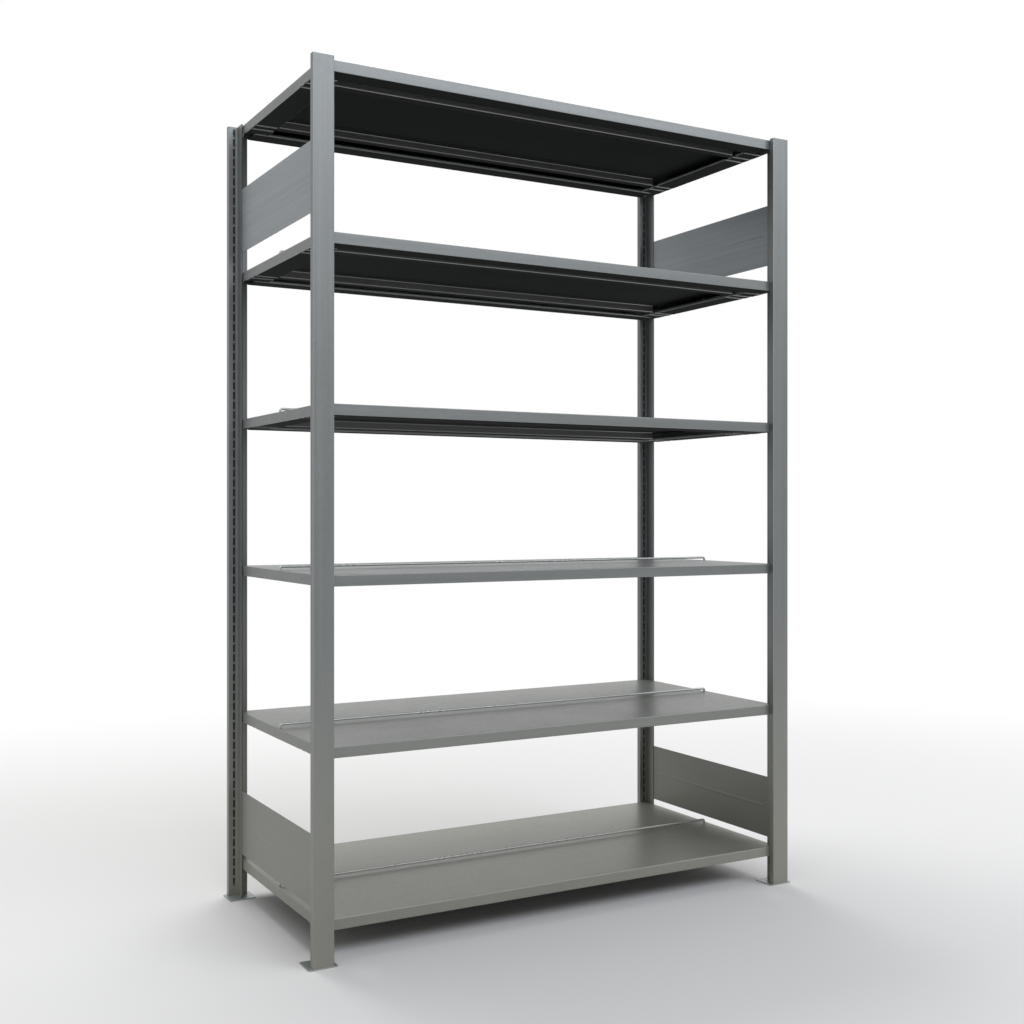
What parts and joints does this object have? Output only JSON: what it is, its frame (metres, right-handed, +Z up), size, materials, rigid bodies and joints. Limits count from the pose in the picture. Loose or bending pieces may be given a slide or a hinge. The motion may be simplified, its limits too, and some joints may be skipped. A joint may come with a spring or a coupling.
{
  "type": "double-sided filing shelving unit",
  "caption": "Free-standing boltless steel filing rack: slotted T-posts on foot plates carry folded-edge shelves on hook-in clips, with low end panels and bar stops along the decks.",
  "frame": {"origin": "on the floor, under the middle of the rack", "axes": "+Z up along the posts, +X to the right along the shelves, +Y from the front to the rear through the depth"},
  "size_m": [1.353, 0.626, 1.978],
  "materials": {
    "post_steel": "zinc-coated, satin",
    "foot_steel": "zinc-plated, semi-bright",
    "panel_steel": "zinc-coated, satin",
    "shelf_steel": "zinc-coated, satin",
    "stiffener_steel": "zinc-coated, dull",
    "stop_steel": "zinc-plated bar",
    "clip_steel": "zinc-plated pressing"
  },
  "bodies": {
    "frame": {"post_front_left": "post_steel", "post_front_right": "post_steel", "post_rear_left": "post_steel", "post_rear_right": "post_steel", "foot_front_left": "foot_steel", "foot_front_right": "foot_steel", "foot_rear_left": "foot_steel", "foot_rear_right": "foot_steel", "side_panel_left_lower": "panel_steel", "side_panel_left_upper": "panel_steel", "side_panel_right_lower": "panel_steel", "side_panel_right_upper": "panel_steel", "shelf_1_clip_front_left": "clip_steel", "shelf_1_clip_front_right": "clip_steel", "shelf_1_clip_rear_left": "clip_steel", "shelf_1_clip_rear_right": "clip_steel", "shelf_2_clip_front_left": "clip_steel", "shelf_2_clip_front_right": "clip_steel", "shelf_2_clip_rear_left": "clip_steel", "shelf_2_clip_rear_right": "clip_steel", "shelf_3_clip_front_left": "clip_steel", "shelf_3_clip_front_right": "clip_steel", "shelf_3_clip_rear_left": "clip_steel", "shelf_3_clip_rear_right": "clip_steel", "shelf_4_clip_front_left": "clip_steel", "shelf_4_clip_front_right": "clip_steel", "shelf_4_clip_rear_left": "clip_steel", "shelf_4_clip_rear_right": "clip_steel", "shelf_5_clip_front_left": "clip_steel", "shelf_5_clip_front_right": "clip_steel", "shelf_5_clip_rear_left": "clip_steel", "shelf_5_clip_rear_right": "clip_steel", "shelf_6_clip_front_left": "clip_steel", "shelf_6_clip_front_right": "clip_steel", "shelf_6_clip_rear_left": "clip_steel", "shelf_6_clip_rear_right": "clip_steel"},
    "shelf_set_1": {"shelf_1": "shelf_steel", "shelf_1_stiffener_front": "stiffener_steel", "shelf_1_stiffener_rear": "stiffener_steel", "centre_stop_1": "stop_steel"},
    "shelf_set_2": {"shelf_2": "shelf_steel", "shelf_2_stiffener_front": "stiffener_steel", "shelf_2_stiffener_rear": "stiffener_steel", "centre_stop_2": "stop_steel"},
    "shelf_set_3": {"shelf_3": "shelf_steel", "shelf_3_stiffener_front": "stiffener_steel", "shelf_3_stiffener_rear": "stiffener_steel", "centre_stop_3": "stop_steel"},
    "shelf_set_4": {"shelf_4": "shelf_steel", "shelf_4_stiffener_front": "stiffener_steel", "shelf_4_stiffener_rear": "stiffener_steel", "centre_stop_4": "stop_steel"},
    "shelf_set_5": {"shelf_5": "shelf_steel", "shelf_5_stiffener_front": "stiffener_steel", "shelf_5_stiffener_rear": "stiffener_steel", "centre_stop_5": "stop_steel"},
    "shelf_set_6": {"shelf_6": "shelf_steel", "shelf_6_stiffener_front": "stiffener_steel", "shelf_6_stiffener_rear": "stiffener_steel"}
  },
  "joints": [
    {"name": "shelf_1_lift", "type": "slide", "parent": "frame", "child": "shelf_set_1", "axis": [0, 0, 1], "range_m": [0, 0.3]},
    {"name": "shelf_2_lift", "type": "slide", "parent": "frame", "child": "shelf_set_2", "axis": [0, 0, 1], "range_m": [0, 0.3]},
    {"name": "shelf_3_lift", "type": "slide", "parent": "frame", "child": "shelf_set_3", "axis": [0, 0, 1], "range_m": [0, 0.3]},
    {"name": "shelf_4_lift", "type": "slide", "parent": "frame", "child": "shelf_set_4", "axis": [0, 0, 1], "range_m": [0, 0.3]},
    {"name": "shelf_5_lift", "type": "slide", "parent": "frame", "child": "shelf_set_5", "axis": [0, 0, 1], "range_m": [0, 0.3]},
    {"name": "shelf_6_lift", "type": "slide", "parent": "frame", "child": "shelf_set_6", "axis": [0, 0, 1], "range_m": [0, 0.05]}
  ]
}
